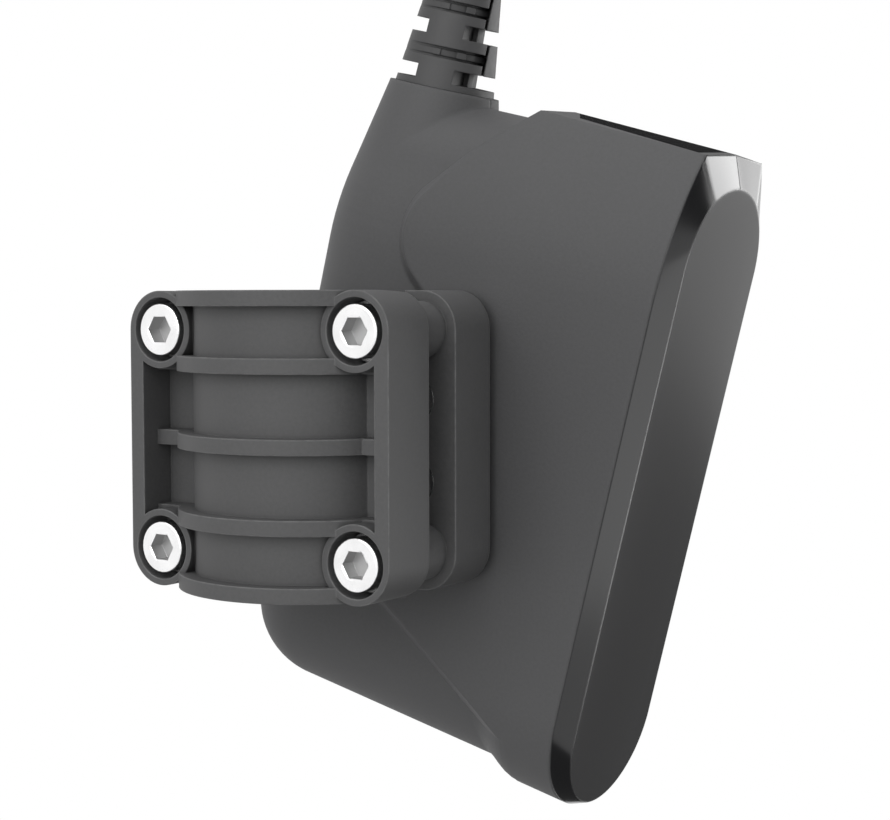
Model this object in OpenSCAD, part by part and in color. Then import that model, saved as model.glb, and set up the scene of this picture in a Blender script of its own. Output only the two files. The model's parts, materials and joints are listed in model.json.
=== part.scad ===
// Pole-mounted sonar transducer: a slim housing with a bevelled acoustic window,
// carried on a two-piece ribbed pole clamp.
// Millimetres. +Z runs up the pole, -Y is the screw side of the clamp, +X is the way the window looks.
// The origin is the centre of the pole bore at half the clamp's height.

/* [Pole clamp] */
// Diameter of the pole the clamp closes on
pole_d = 28.6; // [26:0.1:30]
// Thickness of the rubber liners
liner_t = 2; // [1.5:0.1:2.4]
// Screw spacing across the clamp
screw_dx = 47; // [46:0.5:50]
// Screw spacing up the clamp
screw_dz = 43; // [40:0.5:48]
// Corner radius of the clamp, about each screw
corner_r = 7.6; // [7.2:0.1:8.4]
// Pole axis to the front of the cap's side rails
cap_front = 17.9; // [17:0.1:19]
// Pole axis to the sunk floor of the cap
cap_floor = 9.9; // [8.5:0.1:11]
// Half of the gap between cap and base
half_gap = 4.6; // [3.5:0.1:5.5]
// Pole axis to the back of the base plate
base_back = 17.2; // [16:0.1:18.5]
// Radius of the cap's saddle wall
saddle_r = 23; // [22:0.1:24]
// Radius of the curved rib fronts
rib_r = 26.2; // [25:0.1:27]
// Thickness of the ribs
rib_t = 3; // [2.2:0.1:3.6]
// Height of the inner pair of ribs above and below the middle rib
rib_dz = 15; // [13:0.5:17]
// Pole axis to the front of the low links beside the ribs
link_front = 13.75; // [12.5:0.05:15]
// Width of the cap's side rails
rail_t = 3.2; // [2.4:0.1:4]

/* [Clamp screws] */
// Thread diameter of the four clamp screws
screw_d = 6; // [5:0.5:6]
// Length of the clamp screws under the head
screw_l = 28; // [26:1:29]
// Diameter of the clamp screw heads
head_d = 10.2; // [9.5:0.1:10.8]
// Height of the clamp screw heads
head_h = 6; // [5:0.5:6.5]
// Width across the flats of the hexagon sockets
socket_af = 5; // [4:0.5:5.5]
// Diameter of the washers under the heads
washer_d = 12; // [11.4:0.1:12.2]
// Thickness of the washers
washer_t = 1.6; // [1:0.1:1.8]
// Diameter of the counterbores round the heads
counterbore_d = 12.6; // [12.4:0.1:13.2]
// Diameter of the threaded inserts in the base
insert_d = 8.8; // [8:0.1:9.6]
// Length of the threaded inserts in the base
insert_l = 9.5; // [9:0.5:11]
// Diameter of the base's collars round the screws in the gap
collar_d = 11; // [9:0.5:12]

/* [Base fixing] */
// Spacing of the base screws across the clamp
fix_dx = 43; // [42.6:0.1:44]
// Spacing of the base screws up the clamp
fix_dz = 16; // [14:0.5:17]
// Thread diameter of the base screws
fix_d = 5; // [4:0.5:5]
// Length of the base screws under the head
fix_l = 20; // [18:1:20]
// Width of the land between base and housing
land_dx = 52; // [51:0.5:53]
// Height of the land between base and housing
land_dz = 28; // [26:0.5:32]

/* [Housing] */
// Lean of the housing from the pole, in degrees
tilt = 14.1; // [12:0.1:16]
// Pole axis to the near side of the housing
side_y = 20; // [19.5:0.1:21.5]
// Full thickness of the nose
body_t = 43; // [42:0.5:45]
// Step from the side of the nose down to the slimmer rear
step = 3.5; // [3:0.1:4]
// Centre line of the round rear edge, from the pole axis
spine_w = -12.8; // [-13.4:0.1:-12.2]
// Wall of the housing
wall = 3; // [2.6:0.1:3.2]
// Pole axis to the acoustic face, square to the face
face_w = 59.2; // [58.5:0.1:61]
// Depth of the bevel round the face
bevel_d = 2.6; // [2:0.1:3.4]
// Ridge of the nose top at the bevel
top_u = 71.2; // [70.5:0.1:72]
// Centre of the round lower end
low_u = -43.7; // [-45:0.1:-42.6]
// Radius of the long curve that draws the nose in towards its top
taper_r = 59; // [57:0.5:64]
// Height at which that curve starts
taper_u = 40; // [38:0.5:42]
// Fall of the nose top each side of the ridge, in degrees
roof_a = 4; // [3:0.1:5]
// Rise of the nose top towards the rear, in degrees
roof_rise = 1.9; // [1.4:0.1:2.6]
// Radius of the raised panel's rear corners
ear_r = 10.4; // [9.6:0.1:11.4]
// Sideways run of the sloped step round the raised panel
step_run = 3; // [2:0.1:4]

/* [Acoustic window] */
// Length of the flat face
window_l = 128.8; // [124:0.2:130]
// Width of the flat face
window_t = 32.8; // [31:0.2:34]
// Middle of the flat face along the housing
window_u = 0.4; // [0:0.1:1.2]
// Thickness of the gasket behind the window
gasket_t = 1.5; // [1:0.1:2]

/* [Array and board] */
// Length of the element array
array_l = 96; // [90:0.5:97]
// Wall of the tray beside the element array
carrier_t = 2.5; // [2.2:0.1:3.6]
// Number of elements in the array
element_n = 24; // [16:1:32]
// Saw cut between elements
element_gap = 0.45; // [0.3:0.05:0.8]
// Depth of the elements
element_d = 5; // [4:0.5:5.5]
// Depth of the backing block
backing_d = 14; // [12:0.5:14.5]
// Thickness of the matching layer
matching_t = 1.5; // [1:0.1:2]
// Thickness of the circuit board
board_t = 1.6; // [1.2:0.1:2]

/* [Cable outlet] */
// Diameter of the cable passage
cable_d = 8.2; // [7:0.1:8.6]
// Diameter of the neck at its top
neck_d = 23.6; // [23:0.2:25]
// Height of the neck top along the housing
neck_u = 71.2; // [70.6:0.1:72.4]
// Diameter of the strain relief at its foot
relief_d1 = 21.4; // [20.4:0.2:22.4]
// Diameter of the strain relief at its tip
relief_d2 = 14.2; // [13.8:0.2:15.4]
// Length of the strain relief above the neck
relief_l = 26.6; // [25:0.2:30]
// Diameter of the sleeve inside the strain relief
core_d = 11.4; // [10.8:0.2:12]
// Width of the two broad webs in an open layer
web_t = 8; // [7:0.2:9]
// Width of the two narrow webs in a closed layer
slit_web = 1.9; // [1.4:0.1:2.4]

/* [Hidden] */

// Clearance between pieces that are pressed or bonded together
seat_gap = 0.05;
// Clearance between pieces that slide together when assembled
slip_gap = 0.1;

pole_r = pole_d / 2;
liner_r = pole_r + liner_t;
collar_y = 1.2 - half_gap;
cap_half_x = screw_dx / 2 + corner_r;
cap_half_z = screw_dz / 2 + corner_r;
head_top = cap_front + 0.1;
screw_seat = head_top - head_h - washer_t;
edge_rib_z = cap_half_z - rib_t / 2;
rib_zs = [-edge_rib_z, -rib_dz, 0, rib_dz, edge_rib_z];
link_zs = [-rib_dz, 0, rib_dz];

land_r = 5;
fix_head_d = fix_d + 3.5;
fix_head_h = fix_d;
fix_seat = half_gap + 0.4 + fix_head_h;
land_insert_r = 3.6;
land_insert_l = 10;
land_boss_r = 5.5;

mid_y = side_y + body_t / 2;
far_y = side_y + body_t;
rear_r = body_t / 2 - step;
front_w = face_w - bevel_d;
cone_u = neck_u - 27.8;
neck_lean = atan((rear_r - neck_d / 2) / (neck_u - cone_u));
neck_blend = 70;
blend_n = 6;
crown_u = neck_u - 1.9;
crown_half = neck_d / 2 + (neck_u - crown_u) * tan(neck_lean);
crown_r = crown_half * cos(neck_lean) / (1 - sin(neck_lean));
rear_low = low_u - 0.6;
cave_r = rear_r - wall;
cave_u = cone_u - 2.4;
pocket_r = body_t / 2 - wall;
pocket_u = cave_u - 0.5;
ledge_w = front_w - 4.6 - gasket_t;
rear_front = front_w - 6;
ear_at = [8.8, 42.5];
ear_slope = [0.704, 0.710];
low_ear_at = [15.1, -23.4];
low_corner_at = [44.9, -48.4];
waist_at = [22.1, 38.1];
nose_w = front_w - 11.1;
ramp_l = 9.5;
ramp_n = 8;
panel_split = [0, 20];
end_n = 32;
side_n = 32;
roof_n = 16;
rim_turn = asin((top_u - taper_u - tan(roof_a) * (body_t / 2 - taper_r)) / taper_r * cos(roof_a)) - roof_a;
rim_corner = body_t / 2 - taper_r * (1 - cos(rim_turn));
mitre_turn = 35;

array_mid = (cave_u + low_u) / 2;
array_u0 = array_mid - array_l / 2;
array_u1 = array_mid + array_l / 2;
carrier_r = cave_r - slip_gap;
array_half = carrier_r - carrier_t - slip_gap;
matching_w = front_w - matching_t;
element_w = matching_w - element_d;
backing_w = element_w - backing_d;
carrier_w = backing_w - 3;
stop_t = 2.5;
board_y = mid_y + 1;
board_w = [spine_w - 8, carrier_w - 5];
board_u = [low_u + 7.4, cave_u - 6];
board_screw_w = [board_w[0] + 3, board_w[1] - 4];
board_screw_u = [board_u[0] + 4, board_u[1] - 4];
board_screw_r = 1.45;
board_screw_l = 8;
board_post_r = 3;
flex_t = 0.3;
flex_u = [board_u[0] + 26, board_u[1] - 24];
flex_w = board_w[1] - 3;
chip_size = [7, 1.2, 9];
chip_at = [board_w[0] + 10, board_u[0] + 11];
chip_pitch = [(flex_w - 2 - chip_size[0] - chip_at[0]) / 2, 14];
can_at = [board_w[0] + 14, board_u[0] + 37];
can_size = [flex_w - 7 - can_at[0], 4.5, 22];
can_wall = 0.6;
header_size = [14, 8, 9];
header_at = [board_w[0] + 9, board_u[1] - 10];

spigot_r = 6.4;
spigot_u = neck_u - 15.9;
shoulder_u = neck_u - 9.9;
chamber_r = 10.4;
gland_l = 5;
seal_t = 1.5;
seal_r = 9;
foot_ring = 1.4;
open_layer = 2.9;
closed_layer = 2.3;
ring_a = 2;
ring_b = 2.3;
layer_pitch = open_layer + ring_a + closed_layer + ring_b;
web_turn = 17;
slit_turn = 29;
slit_web_at = 2.7;
slit_wall = 1.9;

// Box between two opposite corners
module block(a, b) {
  translate(a) cube([b[0] - a[0], b[1] - a[1], b[2] - a[2]]);
}

// Round bar along X
module rod_x(x0, x1, y, z, r) {
  translate([x0, y, z]) rotate([0, 90, 0]) cylinder(h = x1 - x0, r = r, $fn = 96);
}

// Round bar along Y
module rod_y(y0, y1, x, z, r) {
  translate([x, y1, z]) rotate([90, 0, 0]) cylinder(h = y1 - y0, r = r, $fn = 64);
}

// Round bar along Z
module rod_z(z0, z1, x, y, r) {
  translate([x, y, z0]) cylinder(h = z1 - z0, r = r, $fn = 96);
}

// Rounded plate square to Y, with dx and dz between its corner centres
module plate(y0, y1, dx, dz, r) {
  block([-dx / 2 - r, y0, -dz / 2], [dx / 2 + r, y1, dz / 2]);
  block([-dx / 2, y0, -dz / 2 - r], [dx / 2, y1, dz / 2 + r]);
  for (x = [-dx / 2, dx / 2], z = [-dz / 2, dz / 2]) rod_y(y0, y1, x, z, r);
}

// Leans the housing's own frame: its X is square to the acoustic face, its Z runs along the face
module leaned() {
  rotate([0, tilt, 0]) children();
}

// Bar with round ends, along the housing's X, with z0 and z1 the centres of its ends
module stadium(x0, x1, z0, z1, r) {
  block([x0, mid_y - r, z0], [x1, mid_y + r, z1]);
  rod_x(x0, x1, mid_y, z0, r);
  rod_x(x0, x1, mid_y, z1, r);
}

// Places children at the four clamp screws
module at_screws() {
  for (x = [-screw_dx / 2, screw_dx / 2], z = [-screw_dz / 2, screw_dz / 2])
    translate([x, 0, z]) children();
}

// Places children at the four base screws
module at_fixings() {
  for (x = [-fix_dx / 2, fix_dx / 2], z = [-fix_dz / 2, fix_dz / 2]) translate([x, 0, z]) children();
}

// Places children at the four board screws, in the housing's frame
module at_board_screws() {
  for (w = board_screw_w, u = board_screw_u) translate([w, 0, u]) children();
}

// Everything in front of the cap's joint face
module front_of_gap() {
  block([-cap_half_x, -rib_r - 1, -cap_half_z - 1], [cap_half_x, -half_gap, cap_half_z + 1]);
}

// Everything behind the base's joint face
module behind_gap() {
  block([-cap_half_x, half_gap, -cap_half_z - 1], [cap_half_x, side_y, cap_half_z + 1]);
}

// Cap of the pole clamp: sunk floor, side rails, screw bosses, saddle wall and curved ribs
module clamp_cap() {
  color([0.20, 0.20, 0.21])
  difference() {
    union() {
      plate(-cap_floor, -half_gap, screw_dx, screw_dz, corner_r);
      intersection() {
        plate(-cap_front, -half_gap, screw_dx, screw_dz, corner_r);
        union() {
          block([-cap_half_x, -cap_front, -cap_half_z], [rail_t - cap_half_x, -half_gap, cap_half_z]);
          block([cap_half_x - rail_t, -cap_front, -cap_half_z], [cap_half_x, -half_gap, cap_half_z]);
        }
      }
      at_screws() rod_y(-cap_front, -half_gap, 0, 0, corner_r);
      intersection() {
        union() {
          rod_z(-cap_half_z, cap_half_z, 0, 0, saddle_r);
          for (z = rib_zs) rod_z(z - rib_t / 2, z + rib_t / 2, 0, 0, rib_r);
        }
        front_of_gap();
      }
      for (z = link_zs)
        block([-cap_half_x + 1, -link_front, z - rib_t / 2], [cap_half_x - 1, -half_gap, z + rib_t / 2]);
    }
    rod_z(-cap_half_z - 1, cap_half_z + 1, 0, 0, liner_r);
    at_screws() rod_y(-cap_front - 10, 0, 0, 0, screw_d / 2 + 0.3);
    at_screws() rod_y(-cap_front - 10, -screw_seat, 0, 0, counterbore_d / 2);
  }
}

// Base of the pole clamp: plate, collars round the screws in the gap, raised land against the housing,
// inserts pressed in from the back
module clamp_base() {
  color([0.17, 0.17, 0.18])
  difference() {
    union() {
      plate(half_gap, base_back, screw_dx, screw_dz, corner_r);
      at_screws() rod_y(collar_y, half_gap + 0.01, 0, 0, collar_d / 2);
      plate(base_back - 0.01, side_y, land_dx - 2 * land_r, land_dz - 2 * land_r, land_r);
    }
    rod_z(-cap_half_z - 1, cap_half_z + 1, 0, 0, liner_r);
    at_screws() rod_y(collar_y - 1, base_back + 1, 0, 0, screw_d / 2 + 0.3);
    at_screws() rod_y(base_back - insert_l, base_back + 1, 0, 0, insert_d / 2);
    at_fixings() rod_y(0, side_y + 1, 0, 0, fix_d / 2 + 0.25);
    at_fixings() rod_y(0, fix_seat, 0, 0, fix_head_d / 2 + 0.3);
  }
}

// Half sleeve of rubber between the pole and the clamp
module liner_sleeve() {
  difference() {
    rod_z(-cap_half_z, cap_half_z, 0, 0, liner_r - seat_gap);
    rod_z(-cap_half_z - 1, cap_half_z + 1, 0, 0, pole_r);
  }
}

module cap_liner() {
  color([0.09, 0.09, 0.09])
  intersection() {
    liner_sleeve();
    front_of_gap();
  }
}

module base_liner() {
  color([0.09, 0.09, 0.09])
  intersection() {
    liner_sleeve();
    behind_gap();
  }
}

// Socket-head screw along Y, head towards -Y with its top at y0
module socket_screw(y0, d, l, hd, hh, af) {
  difference() {
    rod_y(y0, y0 + hh, 0, 0, hd / 2);
    translate([0, y0 + hh * 0.55, 0]) rotate([90, 0, 0]) cylinder(h = hh, d = af / cos(30), $fn = 6);
  }
  rod_y(y0 + hh - 0.01, y0 + hh + l, 0, 0, d / 2);
}

module cap_screws() {
  color([0.86, 0.86, 0.87])
  at_screws() socket_screw(-head_top, screw_d, screw_l, head_d, head_h, socket_af);
}

module cap_washers() {
  color([0.78, 0.78, 0.80])
  at_screws() difference() {
    rod_y(-screw_seat - washer_t, -screw_seat, 0, 0, washer_d / 2);
    rod_y(-screw_seat - washer_t - 1, 0, 0, 0, screw_d / 2 + 0.2);
  }
}

module clamp_inserts() {
  color([0.72, 0.58, 0.28])
  at_screws() difference() {
    rod_y(base_back - insert_l, base_back, 0, 0, insert_d / 2 - seat_gap);
    rod_y(base_back - insert_l - 1, base_back + 1, 0, 0, screw_d / 2 + seat_gap);
  }
}

module base_screws() {
  color([0.80, 0.80, 0.82])
  at_fixings() socket_screw(half_gap + 0.4, fix_d, fix_l, fix_head_d, fix_head_h, fix_d - 1);
}

module land_inserts() {
  color([0.72, 0.58, 0.28])
  at_fixings() difference() {
    rod_y(side_y, side_y + land_insert_l, 0, 0, land_insert_r - seat_gap);
    rod_y(side_y - 1, side_y + land_insert_l + 1, 0, 0, fix_d / 2 + seat_gap);
  }
}

// Space under one slope of the nose top
module roof_half(s) {
  translate([front_w, mid_y, top_u]) rotate([s * roof_a, roof_rise, 0])
    translate([-120, -90, -160]) cube([180, 180, 160]);
}

// Full-thickness bar of the nose: round below, drawn in and ridged above
module nose_bar(w0, w1) {
  block([w0, side_y, low_u], [w1, far_y, taper_u]);
  rod_x(w0, w1, mid_y, low_u, body_t / 2);
  intersection() {
    block([w0, side_y, taper_u - 0.01], [w1, far_y, top_u + 8]);
    rod_x(w0, w1, side_y + taper_r, taper_u, taper_r);
    rod_x(w0, w1, far_y - taper_r, taper_u, taper_r);
    roof_half(1);
    roof_half(-1);
  }
}

// Corner of the raised panel, sloped outwards from the side to the slimmer rear
module panel_corner(at, r) {
  rod_y(side_y, far_y, at[0], at[1], r);
  rod_y(side_y + step, far_y - step, at[0], at[1], r + step_run);
}

// Side view of the raised panel, in two convex pieces, and the nose's lower end below them
module raised_panel() {
  hull() {
    panel_corner(ear_at, ear_r);
    panel_corner([ear_at[0] + 40 * ear_slope[0], ear_at[1] + 40 * ear_slope[1]], ear_r);
    panel_corner(waist_at, ear_r);
    block([nose_w, side_y, panel_split[0]], [front_w, far_y, top_u + 12]);
  }
  hull() {
    panel_corner(low_ear_at, ear_r);
    panel_corner(low_corner_at, 2);
    panel_corner(waist_at, ear_r);
    block([nose_w, side_y, low_corner_at[1] - 2], [front_w, far_y, panel_split[1]]);
  }
  block([nose_w, side_y, low_u - body_t], [front_w, far_y, panel_split[0]]);
}

// Flank of the slim rear and the neck as half widths and heights, curving from straight to leaning
function flank() = [for (i = [0 : blend_n]) let (a = neck_lean * i / blend_n)
  [rear_r - neck_blend * (1 - cos(a)), cone_u + neck_blend * (sin(a) - tan(neck_lean / 2))]];

// Slim rear: straight sides that lean in beside the neck, with a round bottom and crown
module rear_bar() {
  lean_half = crown_r * cos(neck_lean);
  lean_u = crown_u - crown_r * (1 - sin(neck_lean));
  translate([spine_w, mid_y, 0]) rotate([90, 0, 90]) linear_extrude(rear_front - spine_w)
    polygon(concat([[-rear_r, rear_low], [rear_r, rear_low]], flank(),
                   [[lean_half, lean_u], [-lean_half, lean_u]],
                   [for (i = [blend_n : -1 : 0]) [-flank()[i][0], flank()[i][1]]]));
  rod_x(spine_w, rear_front, mid_y, rear_low, rear_r);
  rod_x(spine_w, rear_front, mid_y, crown_u - crown_r, crown_r);
}

// Flared end of the slim rear, where its round bottom swells to the nose
module nose_ramp() {
  start_r = rear_r + (low_u - rear_low) / 2;
  rise = body_t / 2 - seat_gap - start_r;
  swell = [for (i = [0 : ramp_n])
    [start_r + rise * (1 - cos(180 * i / ramp_n)) / 2, nose_w - ramp_l * (1 - i / ramp_n)]];
  translate([0, mid_y, low_u]) rotate([0, 90, 0]) rotate_extrude($fn = 96)
    polygon(concat([[0, nose_w - ramp_l]], swell, [[body_t / 2 - seat_gap, nose_w + 1], [0, nose_w + 1]]));
}

// Outside of the housing, both halves together
module housing_form() {
  rear_bar();
  translate([spine_w, mid_y, 0]) rotate_extrude($fn = 96)
    polygon(concat([[0, rear_low], [rear_r, rear_low]], flank(), [[neck_d / 2, neck_u], [0, neck_u]]));
  translate([spine_w, mid_y, rear_low]) sphere(r = rear_r, $fn = 96);
  nose_ramp();
  intersection() {
    nose_bar(-10, front_w);
    raised_panel();
  }
}

// Inside of the housing, both halves together
module housing_cave() {
  stadium(spine_w, ledge_w + 0.01, low_u, cave_u, cave_r);
  rod_z(low_u, cave_u, spine_w, mid_y, cave_r);
  for (u = [low_u, cave_u]) translate([spine_w, mid_y, u]) sphere(r = cave_r, $fn = 96);
  stadium(ledge_w, face_w, low_u, pocket_u, pocket_r);
  rod_z(cave_u, shoulder_u, spine_w, mid_y, chamber_r);
  rod_z(cave_u, neck_u + 1, spine_w, mid_y, spigot_r + slip_gap);
  rod_z(neck_u - seal_t, neck_u + 1, spine_w, mid_y, seal_r);
}

// Stops behind the array carrier; s is -1 on the near shell and 1 on the far one
module carrier_stops(s) {
  for (u = [-26, 28])
    block([carrier_w - stop_t, mid_y + (s < 0 ? -cave_r - 1 : cave_r - 5), u - 4],
          [carrier_w, mid_y + (s < 0 ? 5 - cave_r : cave_r + 1), u + 4]);
}

// Near half of the housing, with the raised panel and the land that carries the clamp
module near_shell() {
  color([0.16, 0.16, 0.17])
  difference() {
    union() {
      intersection() {
        difference() {
          union() {
            leaned() housing_form();
            plate(side_y, mid_y - 5, land_dx - 2 * land_r, land_dz - 2 * land_r, land_r);
          }
          leaned() housing_cave();
        }
        block([-150, 0, -150], [150, mid_y, 150]);
      }
      at_fixings() rod_y(side_y, side_y + land_insert_l + 1.5, 0, 0, land_boss_r);
      leaned() carrier_stops(-1);
    }
    at_fixings() rod_y(0, side_y + land_insert_l, 0, 0, land_insert_r);
  }
}

// Far half of the housing, with the posts that carry the board
module far_shell() {
  color([0.16, 0.16, 0.17])
  difference() {
    union() {
      intersection() {
        leaned() difference() {
          housing_form();
          housing_cave();
        }
        block([-150, mid_y, -150], [150, 150, 150]);
      }
      leaned() carrier_stops(1);
      leaned() at_board_screws() rod_y(board_y + board_t, mid_y + cave_r + 1, 0, 0, board_post_r);
    }
    leaned() at_board_screws()
      rod_y(board_y, board_y + board_t + board_screw_l + 0.2, 0, 0, board_screw_r + seat_gap);
  }
}

// Near half of the nose's outline where the bevel starts, from the bottom up to the ridge
function rim_half() = concat(
  [for (i = [0 : end_n]) let (a = 90 * i / end_n) [-body_t / 2 * sin(a), low_u - body_t / 2 * cos(a)]],
  [for (i = [0 : side_n]) let (a = rim_turn * i / side_n)
    [taper_r * (1 - cos(a)) - body_t / 2, taper_u + taper_r * sin(a)]],
  [for (i = [1 : roof_n]) let (y = -rim_corner * (1 - i / roof_n)) [y, top_u + y * tan(roof_a)]]);

// Near half of the flat face's outline, point for point with the rim
function face_half() = concat(
  [for (i = [0 : end_n]) let (a = 90 * i / end_n) face_point(a, -1)],
  [for (i = [0 : side_n]) face_point(90 - (90 - mitre_turn) * i / side_n, 1)],
  [for (i = [1 : roof_n]) face_point(mitre_turn * (1 - i / roof_n), 1)]);

// Point on a round end of the flat face, turned a degrees from its tip; s is 1 above and -1 below
function face_point(a, s) =
  [-window_t / 2 * sin(a), window_u + s * (window_l / 2 - window_t / 2 * (1 - cos(a)))];

// Closed outline at depth w from its near half
function both_halves(half, w) = concat(
  [for (p = half) [w, mid_y + p[0], p[1]]],
  [for (i = [len(half) - 2 : -1 : 1]) [w, mid_y - half[i][0], half[i][1]]]);

// Bevelled rim: a ruled skin from the nose's outline to the round-ended flat face, mitred at the top
module bevelled_rim() {
  rim = both_halves(rim_half(), front_w);
  face = both_halves(face_half(), face_w);
  n = len(rim);
  polyhedron(points = concat(rim, face),
    faces = concat([[for (i = [n - 1 : -1 : 0]) i]], [[for (i = [0 : n - 1]) n + i]],
                   [for (i = [0 : n - 1]) [i, (i + 1) % n, n + (i + 1) % n]],
                   [for (i = [0 : n - 1]) [i, n + (i + 1) % n, n + i]]));
}

// Front moulding: bevelled rim, flat acoustic face and the tongue that plugs into the shells
module acoustic_window() {
  color([0.06, 0.06, 0.065])
  leaned() union() {
    bevelled_rim();
    difference() {
      stadium(ledge_w + gasket_t, front_w + 0.01, low_u, pocket_u, pocket_r - slip_gap);
      stadium(ledge_w + gasket_t - 1, front_w, low_u, pocket_u, pocket_r - slip_gap - 2.2);
    }
  }
}

module window_gasket() {
  color([0.05, 0.05, 0.05])
  leaned() difference() {
    stadium(ledge_w, ledge_w + gasket_t, low_u, pocket_u, pocket_r - slip_gap);
    stadium(ledge_w - 1, ledge_w + gasket_t + 1, low_u, pocket_u, cave_r + 0.4);
  }
}

module matching_layer() {
  color([0.55, 0.52, 0.40])
  leaned() block([matching_w, mid_y - array_half, array_u0], [front_w, mid_y + array_half, array_u1]);
}

// Row of piezo elements, cut apart
module element_array() {
  pitch = (array_l + element_gap) / element_n;
  color([0.80, 0.76, 0.66])
  leaned() for (i = [0 : element_n - 1])
    block([element_w, mid_y - array_half, array_u0 + i * pitch],
          [matching_w, mid_y + array_half, array_u0 + (i + 1) * pitch - element_gap]);
}

module backing_block() {
  color([0.30, 0.28, 0.26])
  leaned() block([backing_w, mid_y - array_half, array_u0], [element_w, mid_y + array_half, array_u1]);
}

// Tray that holds the array against the window
module array_carrier() {
  color([0.25, 0.27, 0.30])
  leaned() difference() {
    stadium(carrier_w, element_w, low_u, cave_u, carrier_r);
    block([backing_w, mid_y - array_half - slip_gap, array_u0 - slip_gap],
          [element_w + 1, mid_y + array_half + slip_gap, array_u1 + slip_gap]);
    block([carrier_w - 1, board_y - 0.8, flex_u[0] - 1], [backing_w + 1, board_y + 0.5, flex_u[1] + 1]);
  }
}

// Flat ribbon from the array to the board
module array_flex() {
  color([0.75, 0.50, 0.20])
  leaned() block([flex_w, board_y - flex_t, flex_u[0]], [backing_w, board_y, flex_u[1]]);
}

module main_board() {
  color([0.10, 0.30, 0.16])
  leaned() difference() {
    block([board_w[0], board_y, board_u[0]], [board_w[1], board_y + board_t, board_u[1]]);
    at_board_screws() rod_y(board_y - 1, board_y + board_t + 1, 0, 0, board_screw_r + 0.15);
  }
}

module board_chips() {
  color([0.06, 0.06, 0.07])
  leaned() for (i = [0 : 2], j = [0, 1])
    translate([chip_at[0] + i * chip_pitch[0], board_y - chip_size[1], chip_at[1] + j * chip_pitch[1]])
      cube(chip_size);
}

// Lid over the receiver circuits
module shield_can() {
  color([0.72, 0.73, 0.74])
  leaned() translate([can_at[0], board_y - can_size[1], can_at[1]]) difference() {
    cube(can_size);
    translate([can_wall, can_wall, can_wall])
      cube([can_size[0] - 2 * can_wall, can_size[1], can_size[2] - 2 * can_wall]);
  }
}

module board_screws() {
  color([0.75, 0.75, 0.77])
  leaned() at_board_screws() {
    rod_y(board_y - 2, board_y, 0, 0, 2.8);
    rod_y(board_y - 0.01, board_y + board_t + board_screw_l, 0, 0, board_screw_r);
  }
}

module cable_header() {
  color([0.85, 0.83, 0.76])
  leaned() translate([header_at[0], board_y - header_size[1], header_at[1]]) cube(header_size);
}

// One open layer of the strain relief: all but two broad webs
module open_slots(z) {
  translate([0, 0, z]) difference() {
    cylinder(h = open_layer, r = relief_d1, $fn = 96);
    rotate([0, 0, web_turn]) translate([-web_t / 2, -60, -1]) cube([web_t, 120, open_layer + 2]);
  }
}

// Radius of the strain relief at height z
function relief_r(z) = relief_d1 / 2 - (relief_d1 - relief_d2) / 2 * (z - neck_u) / relief_l;

// One closed layer of the strain relief: wide slots front and back with a wall between, crossed by two webs
module slit_slots(z) {
  half = relief_r(z) - slit_wall;
  rotate([0, 0, slit_turn]) difference() {
    translate([-half, -60, z]) cube([2 * half, 120, closed_layer]);
    translate([-half - 1, -slit_wall / 2, z - 1]) cube([2 * half + 2, slit_wall, closed_layer + 2]);
    for (s = [-1, 1]) translate([s * slit_web_at - slit_web / 2, -61, z - 1])
      cube([slit_web, 122, closed_layer + 2]);
  }
}

// Tapered strain relief with alternate open and closed layers round a sleeve, and a spigot into the neck
module strain_relief() {
  color([0.10, 0.10, 0.10])
  leaned() translate([spine_w, mid_y, 0]) difference() {
    union() {
      difference() {
        translate([0, 0, neck_u]) cylinder(h = relief_l, d1 = relief_d1, d2 = relief_d2, $fn = 96);
        for (i = [0, 1]) {
          open_slots(neck_u + foot_ring + i * layer_pitch);
          slit_slots(neck_u + foot_ring + open_layer + ring_a + i * layer_pitch);
        }
      }
      rod_z(neck_u - 1, neck_u + relief_l - 1, 0, 0, core_d / 2);
      rod_z(spigot_u, neck_u + 0.01, 0, 0, spigot_r);
    }
    rod_z(spigot_u - 1, neck_u + relief_l + 1, 0, 0, cable_d / 2);
  }
}

// Nut that draws the spigot down into the neck
module gland_nut() {
  color([0.72, 0.58, 0.28])
  leaned() translate([spine_w, mid_y, shoulder_u - gland_l]) difference() {
    cylinder(h = gland_l, r = chamber_r - 0.4, $fn = 6);
    translate([0, 0, -1]) cylinder(h = gland_l + 2, r = spigot_r + seat_gap, $fn = 96);
  }
}

module gland_seal() {
  color([0.05, 0.05, 0.05])
  leaned() difference() {
    rod_z(neck_u - seal_t, neck_u, spine_w, mid_y, seal_r - slip_gap);
    rod_z(neck_u - seal_t - 1, neck_u + 1, spine_w, mid_y, spigot_r + seat_gap);
  }
}

clamp_cap();
clamp_base();
cap_liner();
base_liner();
cap_screws();
cap_washers();
clamp_inserts();
base_screws();
land_inserts();
near_shell();
far_shell();
acoustic_window();
window_gasket();
matching_layer();
element_array();
backing_block();
array_carrier();
array_flex();
main_board();
board_chips();
shield_can();
board_screws();
cable_header();
strain_relief();
gland_nut();
gland_seal();
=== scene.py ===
"""Looks of a clamp-mounted sonar transducer: finishes for the moulded, rubber and metal pieces,
a finer front window, strain relief and clamp screws, and a white studio with the camera at the
photographed angle."""

import json
import math

import bmesh
import bpy
from mathutils import Matrix, Vector

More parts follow.
